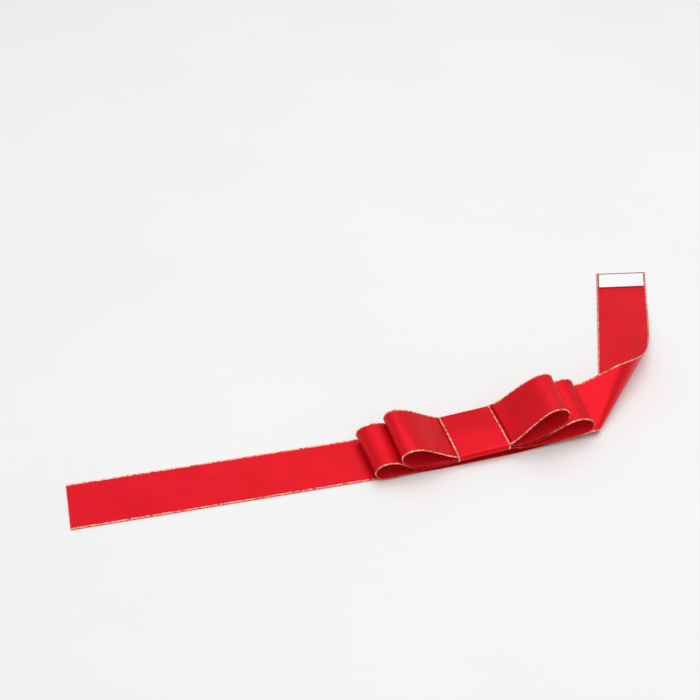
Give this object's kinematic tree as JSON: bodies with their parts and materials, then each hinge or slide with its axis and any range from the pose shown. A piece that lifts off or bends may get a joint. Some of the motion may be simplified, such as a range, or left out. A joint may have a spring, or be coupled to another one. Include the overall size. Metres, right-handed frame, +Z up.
{
  "type": "gift bow",
  "caption": "Flat layered ribbon bow: loop tiers under a centre band on a bending strap whose folded end sticks down with a peel-off liner.",
  "frame": {"origin": "underside of the strap, below the middle of the bow", "axes": "+X along the bow towards the end with the adhesive, +Y across the ribbon towards its back edge, +Z up out of the bow"},
  "size_m": [0.3085, 0.1102, 0.0213],
  "materials": {
    "satin_ribbon": "satin",
    "gold_edge": "woven metallic gold yarn",
    "hot_glue": "translucent",
    "adhesive_tape": "clear",
    "release_liner": "coated paper"
  },
  "bodies": {
    "bow_core": {"centre_band": "satin_ribbon", "centre_band_edge_left": "gold_edge", "centre_band_edge_right": "gold_edge", "lower_ring_end_left": "satin_ribbon", "lower_ring_end_right": "satin_ribbon", "lower_ring_top": "satin_ribbon", "strap_centre": "satin_ribbon", "strap_centre_edge_back": "gold_edge", "strap_centre_edge_front": "gold_edge", "strap_glue_pad": "hot_glue", "strap_right_rise": "satin_ribbon", "strap_right_rise_edge_back": "gold_edge", "strap_right_rise_edge_front": "gold_edge", "tier_glue_pad": "hot_glue", "upper_ring_end_left": "satin_ribbon", "upper_ring_end_right": "satin_ribbon", "upper_ring_top": "satin_ribbon"},
    "left_arm": {"strap_left_arm": "satin_ribbon", "strap_left_arm_edge_back": "gold_edge", "strap_left_arm_edge_front": "gold_edge"},
    "left_tail": {"strap_left_tail": "satin_ribbon", "strap_left_tail_edge_back": "gold_edge", "strap_left_tail_edge_front": "gold_edge"},
    "right_arm": {"strap_right_arm": "satin_ribbon", "strap_right_arm_edge_back": "gold_edge", "strap_right_arm_edge_front": "gold_edge"},
    "end_flap": {"end_adhesive_tape": "adhesive_tape", "strap_end_flap": "satin_ribbon", "strap_end_flap_edge_back": "gold_edge", "strap_end_flap_edge_front": "gold_edge"},
    "liner": {"release_liner": "release_liner"},
    "lower_left": {"lower_loop_left": "satin_ribbon", "lower_loop_left_edge_back": "gold_edge", "lower_loop_left_edge_front": "gold_edge"},
    "lower_right": {"lower_loop_right": "satin_ribbon", "lower_loop_right_edge_back": "gold_edge", "lower_loop_right_edge_front": "gold_edge"},
    "upper_left": {"upper_loop_left": "satin_ribbon", "upper_loop_left_edge_back": "gold_edge", "upper_loop_left_edge_front": "gold_edge"},
    "upper_right": {"upper_loop_right": "satin_ribbon", "upper_loop_right_edge_back": "gold_edge", "upper_loop_right_edge_front": "gold_edge"}
  },
  "joints": [
    {"name": "strap_left_bend", "type": "hinge", "parent": "bow_core", "child": "left_arm", "pos_m": [-0.05495, 0.00183, 0.00015], "axis": [0.0523, 0.9986, 0], "range_deg": [0, 90]},
    {"name": "strap_tail_bend", "type": "hinge", "parent": "left_arm", "child": "left_tail", "pos_m": [-0.11487, 0.00497, 0.00015], "axis": [0.0523, 0.9986, 0], "range_deg": [0, 90]},
    {"name": "strap_right_bend", "type": "hinge", "parent": "bow_core", "child": "right_arm", "pos_m": [0.05554, 0.00413, 0.00771], "axis": [-0.0492, -0.964, -0.2614], "range_deg": [0, 60]},
    {"name": "end_flap_bend", "type": "hinge", "parent": "right_arm", "child": "end_flap", "pos_m": [0.11127, 0.07434, 0.0006], "axis": [0.9012, -0.4333, 0], "range_deg": [0, 90]},
    {"name": "liner_peel", "type": "hinge", "parent": "end_flap", "child": "liner", "pos_m": [0.11563, 0.08339, 0.00078], "axis": [0.981, -0.1941, 0], "range_deg": [0, 120]},
    {"name": "lower_left_lift", "type": "hinge", "parent": "bow_core", "child": "lower_left", "pos_m": [-0.0123, 0, 0.0057], "axis": [0, 1, 0], "range_deg": [0, 25], "stiffness_Nm_per_rad": 0.002},
    {"name": "upper_left_lift", "type": "hinge", "parent": "lower_left", "child": "upper_left", "pos_m": [-0.0123, 0, 0.0057], "axis": [0, 1, 0], "range_deg": [0, 35], "stiffness_Nm_per_rad": 0.002},
    {"name": "lower_right_lift", "type": "hinge", "parent": "bow_core", "child": "lower_right", "pos_m": [0.0123, 0, 0.007], "axis": [0, -1, 0], "range_deg": [0, 25], "stiffness_Nm_per_rad": 0.002},
    {"name": "upper_right_lift", "type": "hinge", "parent": "lower_right", "child": "upper_right", "pos_m": [0.0123, 0, 0.007], "axis": [0, -1, 0], "range_deg": [0, 35], "stiffness_Nm_per_rad": 0.002}
  ]
}
